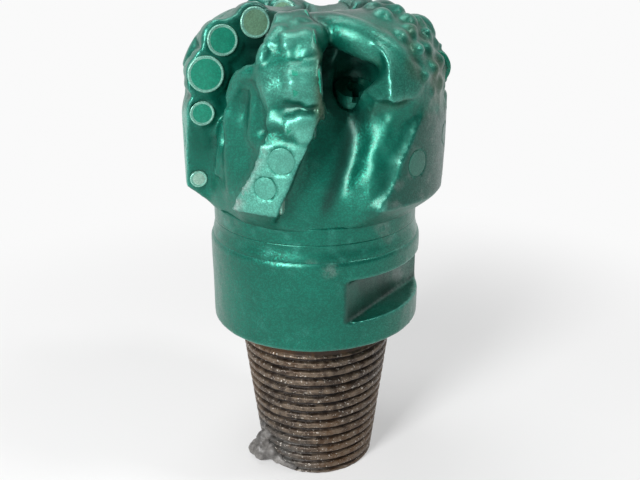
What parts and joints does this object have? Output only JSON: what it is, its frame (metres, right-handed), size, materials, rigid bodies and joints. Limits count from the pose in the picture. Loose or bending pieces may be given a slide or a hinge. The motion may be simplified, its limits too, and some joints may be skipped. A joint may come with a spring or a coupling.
{
  "type": "pdc drill bit",
  "caption": "Rotary drill bit with spiral matrix blades, brazed diamond cutters, gauge pads, jet nozzles, breaker slots and a tapered threaded pin.",
  "frame": {"origin": "centre of the waterway at the pin's end face", "axes": "+Z along the bit's axis from the pin towards the crown's nose; -Y faces the front view"},
  "size_m": [0.1208, 0.1195, 0.2302],
  "materials": {
    "shank_steel": "metallic flake green paint on the body, rusty bare steel on the pin",
    "weld_steel": "metallic flake green paint",
    "blank_steel": "metallic flake green paint on the rim",
    "matrix": "metallic flake green paint over lumpy matrix, worn on the gauge pads",
    "cutter_diamond": "painted over, satin",
    "updrill_diamond": "thin paint, pale and worn",
    "gauge_carbide": "painted over, flush",
    "nozzle_carbide": "painted over",
    "seal_rubber": "black"
  },
  "bodies": {
    "root": {"blade_a_cutter_1": "cutter_diamond", "blade_a_cutter_2": "cutter_diamond", "blade_a_cutter_3": "cutter_diamond", "blade_a_cutter_4": "cutter_diamond", "blade_a_gauge_button_1": "gauge_carbide", "blade_a_gauge_button_2": "gauge_carbide", "blade_a_updrill_cutter": "updrill_diamond", "blade_b_cutter_1": "cutter_diamond", "blade_b_cutter_2": "cutter_diamond", "blade_b_cutter_3": "cutter_diamond", "blade_b_cutter_4": "cutter_diamond", "blade_b_gauge_button_1": "gauge_carbide", "blade_b_gauge_button_2": "gauge_carbide", "blade_b_updrill_cutter": "updrill_diamond", "blade_c_cutter_1": "cutter_diamond", "blade_c_cutter_2": "cutter_diamond", "blade_c_cutter_3": "cutter_diamond", "blade_c_cutter_4": "cutter_diamond", "blade_c_cutter_5": "cutter_diamond", "blade_c_gauge_button_1": "gauge_carbide", "blade_c_gauge_button_2": "gauge_carbide", "blade_c_updrill_cutter": "updrill_diamond", "blade_d_cutter_1": "cutter_diamond", "blade_d_cutter_2": "cutter_diamond", "blade_d_cutter_3": "cutter_diamond", "blade_d_cutter_4": "cutter_diamond", "blade_d_gauge_button_1": "gauge_carbide", "blade_d_gauge_button_2": "gauge_carbide", "blade_d_updrill_cutter": "updrill_diamond", "blade_e_cutter_1": "cutter_diamond", "blade_e_cutter_2": "cutter_diamond", "blade_e_cutter_3": "cutter_diamond", "blade_e_cutter_4": "cutter_diamond", "blade_e_gauge_button_1": "gauge_carbide", "blade_e_gauge_button_2": "gauge_carbide", "blade_e_updrill_cutter": "updrill_diamond", "blank": "blank_steel", "crown": "matrix", "nozzle_1": "nozzle_carbide", "nozzle_2": "nozzle_carbide", "nozzle_3": "nozzle_carbide", "nozzle_4": "nozzle_carbide", "nozzle_5": "nozzle_carbide", "nozzle_o_ring_1": "seal_rubber", "nozzle_o_ring_2": "seal_rubber", "nozzle_o_ring_3": "seal_rubber", "nozzle_o_ring_4": "seal_rubber", "nozzle_o_ring_5": "seal_rubber", "shank": "shank_steel", "weld_ring": "weld_steel"}
  },
  "joints": []
}
